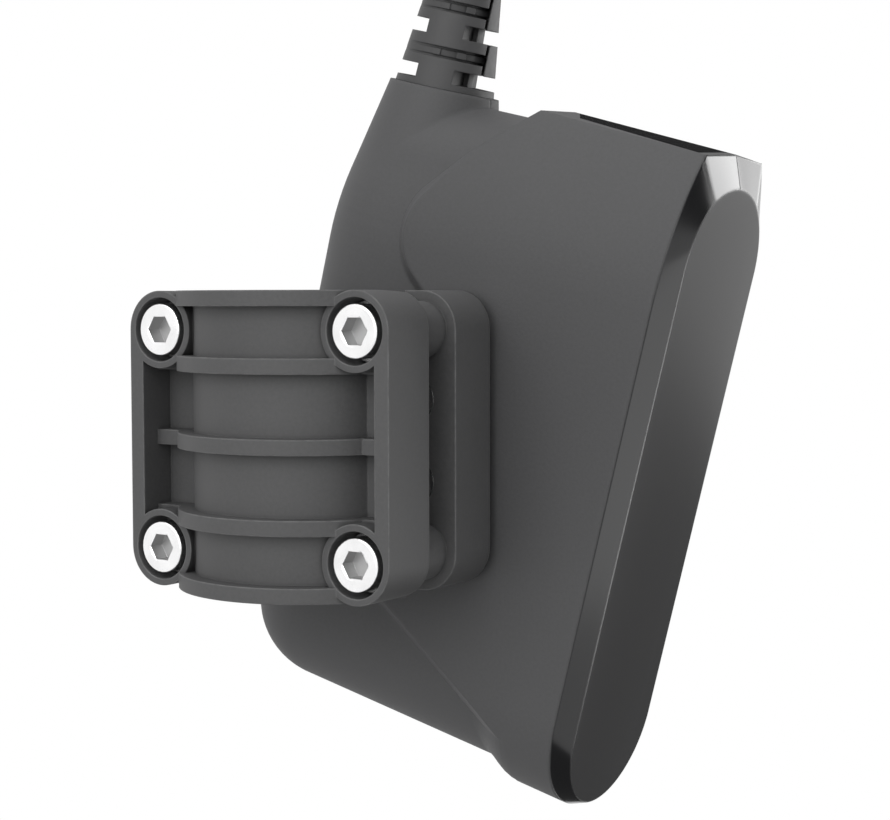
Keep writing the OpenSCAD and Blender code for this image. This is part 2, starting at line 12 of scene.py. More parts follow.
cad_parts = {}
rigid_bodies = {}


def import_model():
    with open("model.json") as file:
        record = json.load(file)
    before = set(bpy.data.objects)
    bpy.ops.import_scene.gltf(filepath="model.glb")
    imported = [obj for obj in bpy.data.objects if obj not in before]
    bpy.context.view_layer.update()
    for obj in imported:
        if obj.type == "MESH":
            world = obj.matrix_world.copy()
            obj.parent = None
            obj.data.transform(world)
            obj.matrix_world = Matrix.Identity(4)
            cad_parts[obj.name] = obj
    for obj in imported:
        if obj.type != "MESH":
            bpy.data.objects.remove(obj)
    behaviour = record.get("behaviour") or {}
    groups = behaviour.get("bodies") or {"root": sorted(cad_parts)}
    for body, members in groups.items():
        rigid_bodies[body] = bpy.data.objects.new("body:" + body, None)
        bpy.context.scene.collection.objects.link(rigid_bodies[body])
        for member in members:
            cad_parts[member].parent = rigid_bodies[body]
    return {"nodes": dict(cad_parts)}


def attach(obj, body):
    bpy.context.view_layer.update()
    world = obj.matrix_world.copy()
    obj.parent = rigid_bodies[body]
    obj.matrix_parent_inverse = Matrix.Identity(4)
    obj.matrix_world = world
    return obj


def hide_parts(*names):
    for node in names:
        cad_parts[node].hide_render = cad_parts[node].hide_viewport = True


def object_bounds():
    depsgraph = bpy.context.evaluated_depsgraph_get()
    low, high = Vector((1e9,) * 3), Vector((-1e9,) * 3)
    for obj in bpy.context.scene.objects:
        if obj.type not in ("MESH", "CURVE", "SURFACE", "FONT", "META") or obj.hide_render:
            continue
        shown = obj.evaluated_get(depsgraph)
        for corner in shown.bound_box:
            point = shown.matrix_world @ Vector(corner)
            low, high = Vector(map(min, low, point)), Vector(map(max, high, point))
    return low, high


MM = 0.001

# Camera: fitted to the clamp and the edges of the acoustic face
CAMERA_AT = (0.21748, -0.28766, 0.02711)
CAMERA_YAW = 0.57351768
CAMERA_PITCH = 0.06019038
CAMERA_ROLL = -0.00159169
FOCAL_PX = 1818.24
FRAME_W_PX = 890
SENSOR_W = 36.0
CLIP = (0.01, 50.0)

# Housing: its own frame leans from upright by TILT, with w square to the acoustic face and u along it
TILT = math.radians(14.1)
MID_Y = 41.5 * MM
FRONT_W = 56.6 * MM
FACE_W = 59.2 * MM
FACE_TOP_U = 64.8 * MM

# Finishes: linear colours
CLAMP_GREY = (0.078, 0.078, 0.079, 1)
# Lighter grey for the clamp's edges, as rub and painted highlight
RUB_AND_HIGHLIGHT_GREY = (0.23, 0.23, 0.23, 1)
# Painted shade in the clamp's inner corners
PAINTED_CORNER_SHADE = (0.02, 0.02, 0.02, 1)
HOUSING_GREY = (0.068, 0.068, 0.070, 1)
# Lighter grey for the housing's edges, as rub and painted highlight
HOUSING_RUB_AND_HIGHLIGHT = (0.14, 0.14, 0.14, 1)
# Painted shade of a recess on the nose top, which the shells do not have
STRIP_PAINTED_SHADE = (0.022, 0.022, 0.023, 1)
JOINT_BLACK = (0.02, 0.02, 0.02, 1)
WINDOW_BLACK = (0.012, 0.012, 0.013, 1)
SEAL_BLACK = (0.02, 0.02, 0.02, 1)
LINER_BLACK = (0.025, 0.025, 0.026, 1)
RELIEF_BLACK = (0.045, 0.045, 0.046, 1)
STEEL = (0.93, 0.93, 0.93, 1)
BRASS = (0.62, 0.45, 0.17, 1)
TINNED_SHEET = (0.70, 0.71, 0.72, 1)
# Painted shade inside the screws' sockets
SOCKET_PAINTED_SHADE = (0.5, 0.5, 0.5, 1)

# Finishes: roughness, and how far grain and smudges shift it
CLAMP_DULL = 0.62
HOUSING_DULL = 0.64
STRIP_GLOSS = 0.12
BEVEL_GLOSS = 0.14
WINDOW_DULL = 0.28
FACE_SATIN = 0.31
FACE_GRAIN_SHARE = 0.15
JOINT_DULL = 0.6
SEAL_DULL = 0.7
LINER_DULL = 0.75
RELIEF_DULL = 0.55
STEEL_DULL = 0.22
BRASS_DULL = 0.28
SHEET_DULL = 0.3
SOCKET_DULL = 0.5
GRAIN_ROUGH = 0.25
SMUDGE_ROUGH = 0.2

# Smudges on metal: the noise they are taken from, and their tone
SMUDGE_NOISE = (0.3, 0.7)
SMUDGE_TONE = (0.94, 1.04)

# Finishes: depth of the grain, and radius of softened edges
GRAIN_DEPTH = 0.12 * MM
FINE_DEPTH = 0.1 * MM
FACE_GRAIN_DEPTH = 0.05 * MM
CLAMP_ROUND = 0.5 * MM
HOUSING_ROUND = 1.2 * MM
WINDOW_ROUND = 0.25 * MM
RUBBER_ROUND = 0.3 * MM
METAL_ROUND = 0.2 * MM
ROUND_SAMPLES = 6

# Edges lightened as rub and painted highlight: the cosines an edge turns through, and the patches the
# lightening breaks into
RUB_HIGHLIGHT_TURN = (0.995, 0.86)
RUB_HIGHLIGHT_NOISE = (0.3, 0.65)
RUB_HIGHLIGHT_LEAST = 0.25

# Inner corners: how open a place is where the rub and painted highlight fade in, and where the painted shade
# fades out
CORNER_REACH = 1.2 * MM
CORNER_SAMPLES = 8
RUB_HIGHLIGHT_OPEN = (0.6, 0.97)
SHADE_OPEN = (0.5, 0.85)
CORNER_SHADE = 0.5

# Joint at half thickness: half its width, where it ends on the window, and its depth there and on the shells
SHELL_JOINT_HALF = 0.16 * MM
WINDOW_JOINT_HALF = 0.2 * MM
JOINT_STOP = 0.05 * MM
JOINT_SOFT = 0.1 * MM
JOINT_DEPTH = 0.4 * MM
JOINT_GRAINS = 2.0

# Satin face: distances behind the face between which the bevels' gloss gives way
FACE_FADE_FROM = 0.2 * MM
FACE_FADE_TO = 0.02 * MM

# Inner pieces: node, finish, colour, roughness, grain scale and speckle
FILLED_PIECES = (
    ("matching_layer", "matching_resin", (0.42, 0.38, 0.26, 1), 0.55, 1200.0, 0.3),
    ("element_array", "piezo_ceramic", (0.66, 0.60, 0.46, 1), 0.5, 1800.0, 0.15),
    ("backing_block", "backing_resin", (0.12, 0.11, 0.10, 1), 0.7, 900.0, 0.5),
    ("array_carrier", "carrier_plastic", (0.10, 0.11, 0.13, 1), 0.55, 1500.0, 0.2),
    ("array_flex", "flex_film", (0.55, 0.30, 0.08, 1), 0.25, 700.0, 0.1),
    ("main_board", "board_laminate", (0.03, 0.16, 0.07, 1), 0.3, 900.0, 0.2),
    ("board_chips", "chip_plastic", (0.02, 0.02, 0.02, 1), 0.5, 1500.0, 0.3),
    ("cable_header", "header_plastic", (0.70, 0.67, 0.58, 1), 0.4, 1200.0, 0.1),
)

# Dark strip on the nose top, painted shade of a recess the shells lack: it widens towards the window and has
# slanted rear corners
STRIP_REAR_W = 20.6 * MM
STRIP_FRONT_W = 55.0 * MM
STRIP_REAR_HALF = 7.6 * MM
STRIP_WIDEN = 0.161
STRIP_SLANT = 0.585
STRIP_LOW_U = 69.0 * MM
STRIP_SOFT = 0.25 * MM

# Front window: the nose's outline where the bevel starts, and the round-ended flat face
BODY_HALF = 21.5 * MM
LOW_U = -43.7 * MM
TAPER_U = 40.0 * MM
TAPER_R = 59.0 * MM
TOP_U = 71.2 * MM
ROOF_SLOPE = math.radians(4.0)
FACE_MID_U = 0.4 * MM
FACE_HALF_L = 64.4 * MM
FACE_HALF_T = 16.4 * MM
MITRE_TURN = math.radians(35.0)
RIM_ROUND = 0.45 * MM
RIM_ROUND_STEPS = 4
RIM_ROUND_FROM = math.radians(12.0)
TONGUE_W = 52.0 * MM
TONGUE_R = 18.4 * MM
TONGUE_WALL = 2.2 * MM
TONGUE_TOP_U = 40.5 * MM
END_STEPS = 40
SIDE_STEPS = 40
ROOF_STEPS = 20

# Meshes: points this near are one, and edges this sharp are creases
MERGE = 0.001 * MM
CREASE = math.radians(28.0)

# Strain relief: a cone on the cable neck with alternate open and slotted layers, from its foot up
RELIEF_W = -12.8 * MM
RELIEF_U = 71.2 * MM
RELIEF_L = 26.6 * MM
RELIEF_FOOT_R = 10.7 * MM
RELIEF_TIP_R = 7.1 * MM
RELIEF_LAYERS = 2
FOOT_T = 1.4 * MM
OPEN_T = 2.9 * MM
LOWER_RING_T = 2.0 * MM
SLOT_T = 2.3 * MM
UPPER_RING_T = 2.3 * MM
SLOT_D = 1.0 * MM
POST_SINK = 0.45 * MM
GROOVE_T = 0.5 * MM
GROOVE_D = 2.8 * MM
SLOT_WALL = 1.9 * MM
SLOT_TURN = math.radians(29.0)
POST_T = 1.9 * MM
POST_AT = 2.7 * MM
SPLIT_T = 0.45 * MM
WEB_T = 8.0 * MM
WEB_TURN = math.radians(17.0)
POCKET_W = 1.25 * MM
POCKET_FLOOR = 1.0 * MM
CORE_R = 5.7 * MM
CABLE_R = 4.1 * MM
SPIGOT_R = 6.4 * MM
SPIGOT_L = 15.9 * MM
SPIGOT_LAP = 0.01 * MM
RELIEF_SIDES = 96
CUT_OVERLAP = 0.03 * MM
SLIVER = 0.004 * MM

# Clamp screws: M6 socket heads, head towards -Y
SCREW_DX = 47.0 * MM
SCREW_DZ = 43.0 * MM
HEAD_TOP = 18.0 * MM
HEAD_R = 5.1 * MM
HEAD_H = 6.0 * MM
HEAD_ROUND = 0.45 * MM
HEAD_ROUND_STEPS = 5
SOCKET_AF = 5.0 * MM
SOCKET_D = 3.3 * MM
SOCKET_BREAK = 0.12 * MM
SHANK_R = 3.0 * MM
SHANK_L = 28.0 * MM
PLAIN_L = 3.0 * MM
THREAD_PITCH = 1.0 * MM
THREAD_D = 0.5 * MM
THREAD_STEPS = 6
TIP_R = 2.3 * MM
SCREW_SIDES = 36
SOCKET_MARK = "socket"

# Studio lights: name, place, point faced, size and brightness
BROAD_LIGHTS = (
    ("front_light", (0.18, -1.15, 0.48), (0.0, 0.0, 0.0), (1.4, 1.0), 1.95),
    ("top_light", (0.0, -0.1, 1.1), (0.02, 0.0, 0.0), (1.1, 1.1), 1.0),
)
GLINT_LIGHTS = (
    ("back_strip_near", (0.66, 0.83, 0.20), (0.06, 0.04, 0.05), (0.53, 0.3), 5.7),
    ("back_strip_far", (0.24, 1.02, 0.20), (0.06, 0.04, 0.05), (0.42, 0.3), 1.8),
    ("edge_glint", (0.75, 0.63, -0.34), (0.06, 0.03, 0.0), (0.2, 0.4), 6.0),
    ("low_side", (0.95, 0.22, -0.335), (0.03, 0.04, -0.02), (0.4, 0.41), 1.0),
)

# Reflection cards: name, place, point faced, size and tone
CARDS = (
    ("side_card", (0.99, 0.25, 0.30), (0.06, 0.03, 0.03), (0.78, 0.6), 0.02),
    ("roof_card", (-0.40, 0.90, 0.42), (0.04, 0.04, 0.07), (0.8, 0.5), 0.02),
    ("floor_card", (0.30, 0.85, -0.44), (0.06, 0.04, -0.02), (1.2, 0.5), 0.22),
    ("under_card", (0.50, 0.10, -0.90), (0.05, 0.03, -0.06), (1.0, 0.7), 0.1),
    ("tip_card", (0.22, 0.30, -0.86), (0.22, 0.30, 0.0), (1.1, 1.1), 0.1),
)

# Surroundings
WHITE = (1, 1, 1, 1)
WORLD_LIGHT = 0.55
FLOOR_GREY = (0.5, 0.5, 0.5, 1)
FLOOR_DULL = 0.9
FLOOR_R = 3.0
FLOOR_SIDES = 96
FLOOR_DROP = 0.8


# Node tree helpers

def new_group(name, inputs, outputs):
    """Empty shader node group; inputs are (name, kind, default) and outputs are (name, kind)."""
    tree = bpy.data.node_groups.new(name, "ShaderNodeTree")
    for label, kind, default in inputs:
        socket = tree.interface.new_socket(label, in_out="INPUT", socket_type=kind)
        if default is not None:
            socket.default_value = default
    for label, kind in outputs:
        tree.interface.new_socket(label, in_out="OUTPUT", socket_type=kind)
    return tree, tree.nodes.new("NodeGroupInput"), tree.nodes.new("NodeGroupOutput")


def node(tree, kind, inputs=None, **settings):
    """Adds a node; inputs are values or sockets by name or index, settings are its properties."""
    made = tree.nodes.new(kind)
    for key, value in settings.items():
        setattr(made, key, value)
    for key, value in (inputs or {}).items():
        if isinstance(value, bpy.types.NodeSocket):
            tree.links.new(value, made.inputs[key])
        else:
            made.inputs[key].default_value = value
    return made


def math_node(tree, operation, a, b=0.0, c=0.0, clamp=False):
    """Math node's output for sockets or numbers."""
    return node(tree, "ShaderNodeMath", {0: a, 1: b, 2: c}, operation=operation, use_clamp=clamp).outputs[0]


def mix_value(tree, share, a, b):
    """Number between a and b."""
    return node(tree, "ShaderNodeMix", {0: share, 2: a, 3: b}, data_type="FLOAT").outputs[0]


def mix_colour(tree, share, a, b):
    """Colour between a and b."""
    made = node(tree, "ShaderNodeMix", {0: share, 6: a, 7: b}, data_type="RGBA")
    return made.outputs[2]


def remap(tree, value, low, high, to_low, to_high):
    """Clamped change of range."""
    return node(tree, "ShaderNodeMapRange", {0: value, 1: low, 2: high, 3: to_low, 4: to_high},
                clamp=True).outputs[0]


def noise(tree, place, scale, detail, rough=0.5):
    """Noise over the surface, around a half."""
    return node(tree, "ShaderNodeTexNoise",
                {"Vector": place, "Scale": scale, "Detail": detail, "Roughness": rough}).outputs["Fac"]


# Shared surface effects

def make_moulded_grain():
    """Fine spark-eroded grain with a broad, faint drift in tone."""
    tree, enter, leave = new_group(
        "moulded_grain",
        [("Place", "NodeSocketVector", None), ("Base", "NodeSocketColor", (0.1, 0.1, 0.1, 1)),
         ("Grain Scale", "NodeSocketFloat", 1500.0), ("Speckle", "NodeSocketFloat", 0.2),
         ("Drift", "NodeSocketFloat", 0.08), ("Dull", "NodeSocketFloat", 0.6)],
        [("Color", "NodeSocketColor"), ("Roughness", "NodeSocketFloat"), ("Height", "NodeSocketFloat")])
    fine = noise(tree, enter.outputs["Place"], enter.outputs["Grain Scale"], detail=3.0, rough=0.6)
    broad = noise(tree, enter.outputs["Place"], scale=55.0, detail=2.0)
    fine_shift = math_node(tree, "SUBTRACT", fine, 0.5)
    broad_shift = math_node(tree, "SUBTRACT", broad, 0.5)
    tone = math_node(tree, "MULTIPLY_ADD", fine_shift, enter.outputs["Speckle"], 1.0)
    tone = math_node(tree, "MULTIPLY_ADD", broad_shift, enter.outputs["Drift"], tone)
    scaled = node(tree, "ShaderNodeVectorMath", {0: enter.outputs["Base"], "Scale": tone}, operation="SCALE")
    rough = math_node(tree, "MULTIPLY_ADD", fine_shift, GRAIN_ROUGH, enter.outputs["Dull"], clamp=True)
    tree.links.new(scaled.outputs[0], leave.inputs["Color"])
    tree.links.new(rough, leave.inputs["Roughness"])
    tree.links.new(fine, leave.inputs["Height"])
    return tree


def make_edge_rub_and_highlight():
    """Share of an edge lightened as rub and painted highlight, from how far the rounded normal turns from the
    flat one.
    """
    tree, enter, leave = new_group(
        "edge_rub_and_highlight",
        [("Place", "NodeSocketVector", None), ("Rounded", "NodeSocketVector", None),
         ("Amount", "NodeSocketFloat", 0.5)],
        [("Edge", "NodeSocketFloat")])
    flat = tree.nodes.new("ShaderNodeNewGeometry")
    cosine = node(tree, "ShaderNodeVectorMath", {0: flat.outputs["True Normal"], 1: enter.outputs["Rounded"]},
                  operation="DOT_PRODUCT").outputs["Value"]
    turned = remap(tree, cosine, *RUB_HIGHLIGHT_TURN, 0.0, 1.0)
    patch = noise(tree, enter.outputs["Place"], scale=420.0, detail=3.0)
    rub_highlight_patches = remap(tree, patch, *RUB_HIGHLIGHT_NOISE, RUB_HIGHLIGHT_LEAST, 1.0)
    share = math_node(tree, "MULTIPLY", math_node(tree, "MULTIPLY", turned, rub_highlight_patches), enter.outputs["Amount"])
    tree.links.new(share, leave.inputs["Edge"])
    return tree


def make_nose_strip():
    """1 on the strip along the nose top that is painted dark as a recess's shade, falling to 0 over its
    border; Place is in the housing's frame.
    """
    tree, enter, leave = new_group("nose_strip", [("Place", "NodeSocketVector", None)],
                                   [("Mask", "NodeSocketFloat")])
    w, y, u = node(tree, "ShaderNodeSeparateXYZ", {0: enter.outputs["Place"]}).outputs
    off = math_node(tree, "ABSOLUTE", math_node(tree, "SUBTRACT", y, MID_Y))
    along = math_node(tree, "SUBTRACT", w, STRIP_REAR_W)
    half = math_node(tree, "MULTIPLY_ADD", along, STRIP_WIDEN, STRIP_REAR_HALF)
    inside = [math_node(tree, "SUBTRACT", half, off),
              math_node(tree, "MULTIPLY_ADD", off, -STRIP_SLANT, along),
              math_node(tree, "SUBTRACT", STRIP_FRONT_W, w),
              math_node(tree, "SUBTRACT", u, STRIP_LOW_U)]
    least = inside[0]
    for gap in inside[1:]:
        least = math_node(tree, "MINIMUM", least, gap)
    tree.links.new(math_node(tree, "DIVIDE", least, STRIP_SOFT, clamp=True), leave.inputs["Mask"])
    return tree


def make_joint_line():
    """1 along the joint at half the housing's thickness, falling to 0 over the line's half width."""
    tree, enter, leave = new_group(
        "joint_line",
        [("Place", "NodeSocketVector", None), ("Half Width", "NodeSocketFloat", SHELL_JOINT_HALF)],
        [("Mask", "NodeSocketFloat")])
    across = node(tree, "ShaderNodeSeparateXYZ", {0: enter.outputs["Place"]}).outputs[1]
    off = math_node(tree, "ABSOLUTE", math_node(tree, "SUBTRACT", across, MID_Y))
    share = math_node(tree, "DIVIDE", off, enter.outputs["Half Width"], clamp=True)
    tree.links.new(math_node(tree, "SUBTRACT", 1.0, share), leave.inputs["Mask"])
    return tree


def make_turned_metal():
    """Bright metal: a very fine grain, and faint smudges in tone and roughness."""
    tree, enter, leave = new_group(
        "turned_metal",
        [("Place", "NodeSocketVector", None), ("Base", "NodeSocketColor", (0.8, 0.8, 0.8, 1)),
         ("Dull", "NodeSocketFloat", 0.2)],
        [("Color", "NodeSocketColor"), ("Roughness", "NodeSocketFloat"), ("Height", "NodeSocketFloat")])
    marks = noise(tree, enter.outputs["Place"], scale=3000.0, detail=2.0)
    smudge = noise(tree, enter.outputs["Place"], scale=260.0, detail=3.0)
    tone = remap(tree, smudge, *SMUDGE_NOISE, *SMUDGE_TONE)
    scaled = node(tree, "ShaderNodeVectorMath", {0: enter.outputs["Base"], "Scale": tone}, operation="SCALE")
    drift = math_node(tree, "SUBTRACT", smudge, 0.5)
    rough = math_node(tree, "MULTIPLY_ADD", drift, SMUDGE_ROUGH, enter.outputs["Dull"], clamp=True)
    tree.links.new(scaled.outputs[0], leave.inputs["Color"])
    tree.links.new(rough, leave.inputs["Roughness"])
    tree.links.new(marks, leave.inputs["Height"])
    return tree


GROUPS = {}


def make_groups():
    """Builds the shared effects once."""
    GROUPS.update({"moulded_grain": make_moulded_grain(), "edge_rub_and_highlight": make_edge_rub_and_highlight(),
                   "joint_line": make_joint_line(), "nose_strip": make_nose_strip(),
                   "turned_metal": make_turned_metal()})


def place_group(tree, name, inputs):
    """Outputs of one of the shared effects, placed in a material's tree."""
    return node(tree, "ShaderNodeGroup", inputs, node_tree=GROUPS[name]).outputs


# Material helpers

def start_material(name):
    """Node material with its tree, principled shader and object coordinates."""
    material = bpy.data.materials.new(name + "_finish")
    material.use_nodes = True
    tree = material.node_tree
    place = node(tree, "ShaderNodeTexCoord").outputs["Object"]
    return material, tree, tree.nodes["Principled BSDF"], place


def rounded_normal(tree, radius):
    """Normal softened over an edge, as a moulding's small radius does."""
    return node(tree, "ShaderNodeBevel", {"Radius": radius}, samples=ROUND_SAMPLES).outputs[0]


def bumped(tree, height, strength, depth, normal=None, invert=False):
    """Normal with a height raised on it, or sunk into it."""
    inputs = {"Strength": strength, "Distance": depth, "Height": height}
    if normal is not None:
        inputs["Normal"] = normal
    return node(tree, "ShaderNodeBump", inputs, invert=invert).outputs[0]


def connect(tree, shader, colour, rough, normal):
    """Feeds a principled shader."""
    for label, socket in (("Base Color", colour), ("Roughness", rough), ("Normal", normal)):
        tree.links.new(socket, shader.inputs[label])


def leaned_place(tree, place):
    """Object coordinates turned into the housing's own frame."""
    return node(tree, "ShaderNodeMapping", {"Vector": place, "Rotation": (0, -TILT, 0)},
                vector_type="POINT").outputs[0]


# Materials

def clamp_plastic():
    """Textured moulded plastic with edges lightened as rub and painted highlight, and painted shade darkening
    its inner corners.
    """
    material, tree, shader, place = start_material("clamp_plastic")
    normal = rounded_normal(tree, CLAMP_ROUND)
    surface = place_group(tree, "moulded_grain", {"Place": place, "Base": CLAMP_GREY, "Grain Scale": 1400.0,
                                                  "Speckle": 0.5, "Dull": CLAMP_DULL})
    edge = place_group(tree, "edge_rub_and_highlight", {"Place": place, "Rounded": normal, "Amount": 0.8})["Edge"]
    corner = node(tree, "ShaderNodeAmbientOcclusion", {"Distance": CORNER_REACH},
                  samples=CORNER_SAMPLES, only_local=True).outputs["AO"]
    outer = remap(tree, corner, *RUB_HIGHLIGHT_OPEN, 0.0, 1.0)
    # Painted shade: inner corners darken towards a near-black grey, where shade falls
    inner = remap(tree, corner, *SHADE_OPEN, CORNER_SHADE, 0.0)
    # Edges lightened as rub and painted highlight, kept off inner corners
    rub_and_highlight = math_node(tree, "MULTIPLY", edge, outer)
    colour = mix_colour(tree, rub_and_highlight, surface["Color"], RUB_AND_HIGHLIGHT_GREY)
    colour = mix_colour(tree, inner, colour, PAINTED_CORNER_SHADE)
    texture = bumped(tree, surface["Height"], strength=0.3, depth=GRAIN_DEPTH, normal=normal)
    connect(tree, shader, colour, surface["Roughness"], texture)
    return material


def window_plastic():
    """Black front moulding: glossy bevels, satin flat face, and a fine joint line across the top bevel."""
    material, tree, shader, place = start_material("window_plastic")
    local = leaned_place(tree, place)
    w, _, u = node(tree, "ShaderNodeSeparateXYZ", {0: local}).outputs
    flat = remap(tree, w, FACE_W - FACE_FADE_FROM, FACE_W - FACE_FADE_TO, 0.0, 1.0)
    surface = place_group(tree, "moulded_grain", {"Place": place, "Base": WINDOW_BLACK, "Grain Scale": 4000.0,
                                                  "Speckle": 0.1, "Drift": 0.1, "Dull": WINDOW_DULL})
    joint = place_group(tree, "joint_line", {"Place": local, "Half Width": WINDOW_JOINT_HALF})["Mask"]
    joint_end = FACE_W - JOINT_STOP
    above = remap(tree, u, FACE_TOP_U, FACE_TOP_U + JOINT_SOFT, 0.0, 1.0)
    behind = remap(tree, w, joint_end - JOINT_SOFT, joint_end, 1.0, 0.0)
    line = math_node(tree, "MULTIPLY", joint, math_node(tree, "MULTIPLY", above, behind))
    satin = mix_value(tree, FACE_GRAIN_SHARE, FACE_SATIN, surface["Roughness"])
    rough = mix_value(tree, line, mix_value(tree, flat, BEVEL_GLOSS, satin), JOINT_DULL)
    normal = rounded_normal(tree, WINDOW_ROUND)
    grain = bumped(tree, surface["Height"], strength=0.005, depth=FACE_GRAIN_DEPTH, normal=normal)
    groove = bumped(tree, line, strength=1.0, depth=JOINT_DEPTH, normal=grain, invert=True)
    connect(tree, shader, surface["Color"], rough, groove)
    return material


def housing_plastic():
    """Matt moulded shells with edges faintly lightened as rub and painted highlight; a strip on the nose top
    is painted dark as the shade of a recess the shells lack, and the joint shows as a fine line.
    """
    material, tree, shader, place = start_material("housing_plastic")
    local = leaned_place(tree, place)
    normal = rounded_normal(tree, HOUSING_ROUND)
    surface = place_group(tree, "moulded_grain", {"Place": place, "Base": HOUSING_GREY, "Grain Scale": 1500.0,
                                                  "Speckle": 0.45, "Dull": HOUSING_DULL})
    edge = place_group(tree, "edge_rub_and_highlight", {"Place": place, "Rounded": normal, "Amount": 0.12})["Edge"]
    strip = place_group(tree, "nose_strip", {"Place": local})["Mask"]
    line = place_group(tree, "joint_line", {"Place": local, "Half Width": SHELL_JOINT_HALF})["Mask"]
    # Edges faintly lightened as rub and painted highlight
    colour = mix_colour(tree, edge, surface["Color"], HOUSING_RUB_AND_HIGHLIGHT)
    # Painted shade: the nose-top strip is darkened as a recess's shade
    colour = mix_colour(tree, strip, colour, STRIP_PAINTED_SHADE)
    colour = mix_colour(tree, line, colour, JOINT_BLACK)
    rough = mix_value(tree, strip, surface["Roughness"], STRIP_GLOSS)
    height = math_node(tree, "MULTIPLY_ADD", line, -JOINT_GRAINS, surface["Height"])
    texture = bumped(tree, height, strength=0.25, depth=GRAIN_DEPTH, normal=normal)
    connect(tree, shader, colour, rough, texture)
    return material


def rubber(name, base, dull):
    """Matt moulded rubber with a slight grain."""
    material, tree, shader, place = start_material(name)
    surface = place_group(tree, "moulded_grain", {"Place": place, "Base": base, "Grain Scale": 1100.0,
                                                  "Speckle": 0.4, "Dull": dull})
    normal = rounded_normal(tree, RUBBER_ROUND)
    texture = bumped(tree, surface["Height"], strength=0.2, depth=FINE_DEPTH, normal=normal)
    connect(tree, shader, surface["Color"], surface["Roughness"], texture)
    return material


def metal(name, base, dull):
    """Bright metal, rougher inside a screw's socket and painted darker there as the socket's shade."""
    material, tree, shader, place = start_material(name)
    shader.inputs["Metallic"].default_value = 1.0
    surface = place_group(tree, "turned_metal", {"Place": place, "Base": base, "Dull": dull})
    socket = node(tree, "ShaderNodeAttribute", attribute_name=SOCKET_MARK).outputs["Fac"]
    # Painted shade: the socket's faces are darkened to a grey
    colour = mix_colour(tree, socket, surface["Color"], SOCKET_PAINTED_SHADE)
    rough = mix_value(tree, socket, surface["Roughness"], SOCKET_DULL)
    normal = rounded_normal(tree, METAL_ROUND)
    texture = bumped(tree, surface["Height"], strength=0.04, depth=FINE_DEPTH, normal=normal)
    connect(tree, shader, colour, rough, texture)
    return material


def filled_resin(name, base, dull, scale, speckle):
    """Cast or moulded inner pieces with a visible filler."""
    material, tree, shader, place = start_material(name)
    surface = place_group(tree, "moulded_grain", {"Place": place, "Base": base, "Grain Scale": scale,
                                                  "Speckle": speckle, "Drift": 0.15, "Dull": dull})
    texture = bumped(tree, surface["Height"], strength=0.15, depth=FINE_DEPTH)
    connect(tree, shader, surface["Color"], surface["Roughness"], texture)
    return material


def finish_nodes(nodes):
    """Gives each CAD node its material, and returns them by node."""
    clamp = clamp_plastic()
    shell = housing_plastic()
    steel = metal("stainless", STEEL, STEEL_DULL)
    brass = metal("insert_brass", BRASS, BRASS_DULL)
    seal = rubber("seal_rubber", SEAL_BLACK, SEAL_DULL)
    liner = rubber("liner_rubber", LINER_BLACK, LINER_DULL)
    finishes = {
        "clamp_cap": clamp, "clamp_base": clamp, "near_shell": shell, "far_shell": shell,
        "acoustic_window": window_plastic(),
        "cap_liner": liner, "base_liner": liner,
        "strain_relief": rubber("relief_rubber", RELIEF_BLACK, RELIEF_DULL),
        "cap_screws": steel, "cap_washers": steel, "base_screws": steel, "board_screws": steel,
        "clamp_inserts": brass, "land_inserts": brass, "gland_nut": brass,
        "window_gasket": seal, "gland_seal": seal,
        "shield_can": metal("shield_metal", TINNED_SHEET, SHEET_DULL),
    }
    for name, *look in FILLED_PIECES:
        finishes[name] = filled_resin(*look)
    for name, piece in nodes.items():
        piece.data.materials.clear()
        piece.data.materials.append(finishes[name])
    return finishes


# Mesh helper

def smooth_with_creases(mesh):
    """Smooth shading, broken at the sharp edges."""
    mesh.polygons.foreach_set("use_smooth", [True] * len(mesh.polygons))
    mesh.set_sharp_from_angle(angle=CREASE)


# Front window

def rim_half():
    """Near half of the nose's outline from the bottom to the ridge: offset from mid-thickness, and height."""
    turn = math.asin((TOP_U - TAPER_U - math.tan(ROOF_SLOPE) * (BODY_HALF - TAPER_R)) / TAPER_R
                     * math.cos(ROOF_SLOPE)) - ROOF_SLOPE
    corner = BODY_HALF - TAPER_R * (1 - math.cos(turn))
    bottom = [math.pi / 2 * i / END_STEPS for i in range(END_STEPS + 1)]
    side = [turn * i / SIDE_STEPS for i in range(SIDE_STEPS + 1)]
    roof = [-corner * (1 - i / ROOF_STEPS) for i in range(1, ROOF_STEPS + 1)]
    return ([(-BODY_HALF * math.sin(a), LOW_U - BODY_HALF * math.cos(a)) for a in bottom]
            + [(TAPER_R * (1 - math.cos(a)) - BODY_HALF, TAPER_U + TAPER_R * math.sin(a)) for a in side]
            + [(y, TOP_U + y * math.tan(ROOF_SLOPE)) for y in roof])


def face_half():
    """Near half of the flat face's outline, point for point with the rim."""
    def point(turn, end):
        reach = FACE_HALF_L - FACE_HALF_T * (1 - math.cos(turn))
        return (-FACE_HALF_T * math.sin(turn), FACE_MID_U + end * reach)
    right = math.pi / 2
    return ([point(right * i / END_STEPS, -1) for i in range(END_STEPS + 1)]
            + [point(right - (right - MITRE_TURN) * i / SIDE_STEPS, 1) for i in range(SIDE_STEPS + 1)]
            + [point(MITRE_TURN * (1 - i / ROOF_STEPS), 1) for i in range(1, ROOF_STEPS + 1)])


